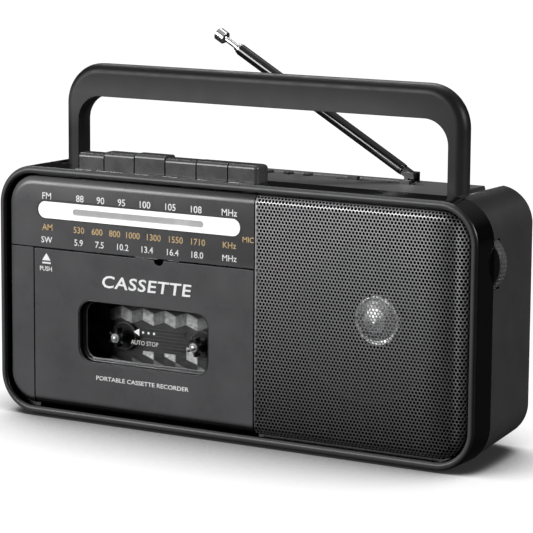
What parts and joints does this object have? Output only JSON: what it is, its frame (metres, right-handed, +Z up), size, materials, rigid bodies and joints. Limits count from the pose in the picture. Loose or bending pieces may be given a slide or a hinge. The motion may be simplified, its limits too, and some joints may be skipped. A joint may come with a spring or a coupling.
{
  "type": "portable radio cassette recorder",
  "caption": "Portable radio cassette recorder with piano keys, hinged cassette door, single speaker behind a perforated grille, folding handle and telescopic antenna.",
  "frame": {"origin": "on the surface that the recorder stands on, under the middle of the cabinet", "axes": "+X to the user's right, +Y from the front to the back, +Z up"},
  "size_m": [0.2528, 0.064, 0.1795],
  "materials": {
    "gloss_black": "glossy moulded black",
    "matte_black": "fine textured black",
    "lens_white": "smooth white",
    "dial_grey": "printed light grey",
    "pointer_white": "plain pale",
    "grille_steel": "perforated, satin grey",
    "basket_steel": "stamped black",
    "cone_paper": "black paper",
    "bright_cap": "spun bright",
    "magnet_iron": "ferrite",
    "window_clear": "clear moulded acrylic",
    "plated_steel": "zinc plated",
    "well_black": "patterned black and grey",
    "reel_black": "plain black",
    "wheel_brass": "turned",
    "motor_steel": "drawn can",
    "black_rubber": "plain",
    "board_green": "phenolic board",
    "capacitor_white": "moulded",
    "ferrite_grey": "sintered",
    "core_iron": "laminated core and taped coil",
    "antenna_chrome": "bright plated",
    "antenna_black": "gloss black plated"
  },
  "bodies": {
    "cabinet": {"front_housing": "gloss_black", "rear_housing": "matte_black", "dial_panel": "gloss_black", "side_trim": "gloss_black", "dial_lens": "lens_white", "dial_diffuser": "dial_grey", "speaker_grille": "grille_steel", "speaker_frame": "basket_steel", "speaker_cone": "cone_paper", "speaker_dust_cap": "bright_cap", "speaker_magnet": "magnet_iron", "door_hinge_pins": "plated_steel", "well_plate": "well_black", "mechanism_chassis": "plated_steel", "drive_motor": "motor_steel", "drive_belt": "black_rubber", "key_shaft": "plated_steel", "main_circuit_board": "board_green", "tuning_capacitor": "capacitor_white", "ferrite_rod": "ferrite_grey", "battery_contacts": "plated_steel", "ac_inlet": "matte_black", "power_transformer": "core_iron", "headphone_jack": "matte_black", "rubber_feet": "black_rubber", "housing_screws": "plated_steel", "handle_pins": "plated_steel"},
    "door": {"cassette_door": "gloss_black", "door_window": "window_clear", "cassette_holder": "matte_black"},
    "takeup": {"takeup_spindle": "reel_black"},
    "supply": {"supply_spindle": "reel_black"},
    "capstan": {"capstan_shaft": "plated_steel", "flywheel": "wheel_brass"},
    "pulley": {"motor_pulley": "wheel_brass"},
    "bridge": {"head_bridge": "plated_steel", "record_play_head": "plated_steel", "erase_head": "plated_steel"},
    "roller": {"pinch_roller": "black_rubber"},
    "tuning": {"tuning_wheel": "matte_black"},
    "pointer": {"dial_pointer": "pointer_white"},
    "volume": {"volume_wheel": "matte_black"},
    "band_switch": {"band_switch_knob": "matte_black"},
    "function_switch": {"function_switch_knob": "matte_black"},
    "handle": {"handle": "matte_black"},
    "antenna_base": {"antenna_swivel": "antenna_chrome"},
    "antenna_tube": {"antenna_barrel": "antenna_black"},
    "antenna_outer": {"antenna_section_outer": "antenna_chrome"},
    "antenna_inner": {"antenna_section_inner": "antenna_chrome"},
    "antenna_end": {"antenna_tip": "antenna_chrome"},
    "battery_lid": {"battery_cover": "matte_black"},
    "key_pause": {"key_pause": "matte_black"},
    "key_stop_eject": {"key_stop_eject": "matte_black"},
    "key_fast_forward": {"key_fast_forward": "matte_black"},
    "key_rewind": {"key_rewind": "matte_black"},
    "key_play": {"key_play": "matte_black"},
    "key_record": {"key_record": "matte_black"},
    "button_left": {"round_button_left": "matte_black"},
    "button_middle": {"round_button_middle": "matte_black"},
    "button_right": {"round_button_right": "matte_black"}
  },
  "joints": [
    {"name": "door_hinge", "type": "hinge", "parent": "cabinet", "child": "door", "pos_m": [-0.0448, -0.0265, 0.0099], "axis": [1, 0, 0], "range_deg": [0, 38]},
    {"name": "pause_press", "type": "hinge", "parent": "cabinet", "child": "key_pause", "pos_m": [0, 0.005, 0.11], "axis": [1, 0, 0], "range_deg": [0, 7], "stiffness_Nm_per_rad": 0.4, "springref_deg": -5.73},
    {"name": "stop_eject_press", "type": "hinge", "parent": "cabinet", "child": "key_stop_eject", "pos_m": [0, 0.005, 0.11], "axis": [1, 0, 0], "range_deg": [0, 7], "stiffness_Nm_per_rad": 0.4, "springref_deg": -5.73},
    {"name": "fast_forward_press", "type": "hinge", "parent": "cabinet", "child": "key_fast_forward", "pos_m": [0, 0.005, 0.11], "axis": [1, 0, 0], "range_deg": [0, 7], "stiffness_Nm_per_rad": 0.4, "springref_deg": -5.73},
    {"name": "rewind_press", "type": "hinge", "parent": "cabinet", "child": "key_rewind", "pos_m": [0, 0.005, 0.11], "axis": [1, 0, 0], "range_deg": [0, 7], "stiffness_Nm_per_rad": 0.4, "springref_deg": -5.73},
    {"name": "play_press", "type": "hinge", "parent": "cabinet", "child": "key_play", "pos_m": [0, 0.005, 0.11], "axis": [1, 0, 0], "range_deg": [0, 7], "stiffness_Nm_per_rad": 0.4, "springref_deg": -5.73},
    {"name": "record_press", "type": "hinge", "parent": "cabinet", "child": "key_record", "pos_m": [0, 0.005, 0.11], "axis": [1, 0, 0], "range_deg": [0, 7], "stiffness_Nm_per_rad": 0.4, "springref_deg": -5.73},
    {"name": "takeup_spin", "type": "hinge", "parent": "cabinet", "child": "takeup", "pos_m": [-0.06605, -0.015, 0.0386], "axis": [0, 1, 0], "continuous": true},
    {"name": "supply_spin", "type": "hinge", "parent": "cabinet", "child": "supply", "pos_m": [-0.02355, -0.015, 0.0386], "axis": [0, 1, 0], "continuous": true},
    {"name": "capstan_spin", "type": "hinge", "parent": "cabinet", "child": "capstan", "pos_m": [-0.0653, -0.005, 0.0681], "axis": [0, 1, 0], "continuous": true},
    {"name": "pulley_spin", "type": "hinge", "parent": "cabinet", "child": "pulley", "pos_m": [-0.02, -0.005, 0.088], "axis": [0, 1, 0], "continuous": true},
    {"name": "head_bridge_slide", "type": "slide", "parent": "cabinet", "child": "bridge", "axis": [0, 0, -1], "range_m": [0, 0.0051]},
    {"name": "roller_spin", "type": "hinge", "parent": "bridge", "child": "roller", "pos_m": [-0.0653, -0.022, 0.0806], "axis": [0, 1, 0], "continuous": true},
    {"name": "tuning_turn", "type": "hinge", "parent": "cabinet", "child": "tuning", "pos_m": [0.1124, -0.012, 0.0888], "axis": [0, 1, 0], "range_deg": [-200, 45]},
    {"name": "pointer_slide", "type": "slide", "parent": "cabinet", "child": "pointer", "axis": [1, 0, 0], "range_m": [-0.0525, 0.0125]},
    {"name": "volume_turn", "type": "hinge", "parent": "cabinet", "child": "volume", "pos_m": [-0.1124, -0.012, 0.0888], "axis": [0, 1, 0], "range_deg": [-150, 150]},
    {"name": "band_switch_slide", "type": "slide", "parent": "cabinet", "child": "band_switch", "axis": [1, 0, 0], "range_m": [-0.006, 0.006]},
    {"name": "function_switch_slide", "type": "slide", "parent": "cabinet", "child": "function_switch", "axis": [1, 0, 0], "range_m": [-0.006, 0.006]},
    {"name": "button_left_press", "type": "slide", "parent": "cabinet", "child": "button_left", "axis": [0, 0, -1], "range_m": [0, 0.0008], "stiffness_N_per_m": 1200, "springref_m": -0.0006},
    {"name": "button_middle_press", "type": "slide", "parent": "cabinet", "child": "button_middle", "axis": [0, 0, -1], "range_m": [0, 0.0008], "stiffness_N_per_m": 1200, "springref_m": -0.0006},
    {"name": "button_right_press", "type": "slide", "parent": "cabinet", "child": "button_right", "axis": [0, 0, -1], "range_m": [0, 0.0008], "stiffness_N_per_m": 1200, "springref_m": -0.0006},
    {"name": "handle_fold", "type": "hinge", "parent": "cabinet", "child": "handle", "pos_m": [0, -0.0018, 0.1093], "axis": [-1, 0, 0], "range_deg": [0, 20]},
    {"name": "antenna_swivel_turn", "type": "hinge", "parent": "cabinet", "child": "antenna_base", "pos_m": [0.0623, 0.025, 0.115], "axis": [0, 0, 1], "range_deg": [-180, 0]},
    {"name": "antenna_tilt", "type": "hinge", "parent": "antenna_base", "child": "antenna_tube", "pos_m": [0.0623, 0.025, 0.118], "axis": [0, -1, 0], "range_deg": [-59.8, 30.2]},
    {"name": "antenna_pull_outer", "type": "slide", "parent": "antenna_tube", "child": "antenna_outer", "axis": [0.8643, 0, -0.503], "range_m": [-0.085, 0]},
    {"name": "antenna_pull_inner", "type": "slide", "parent": "antenna_outer", "child": "antenna_inner", "axis": [0.8643, 0, -0.503], "range_m": [-0.085, 0]},
    {"name": "antenna_pull_tip", "type": "slide", "parent": "antenna_inner", "child": "antenna_end", "axis": [0.8643, 0, -0.503], "range_m": [-0.085, 0]},
    {"name": "battery_cover_off", "type": "slide", "parent": "cabinet", "child": "battery_lid", "axis": [0, 1, 0], "range_m": [0, 0.03]}
  ],
  "couplings": [
    {"joint": "head_bridge_slide", "follows": "play_press", "m_per_rad": 0.040926},
    {"joint": "pointer_slide", "follows": "tuning_turn", "m_per_rad": 0.0149},
    {"joint": "pulley_spin", "follows": "capstan_spin", "ratio": 5}
  ]
}
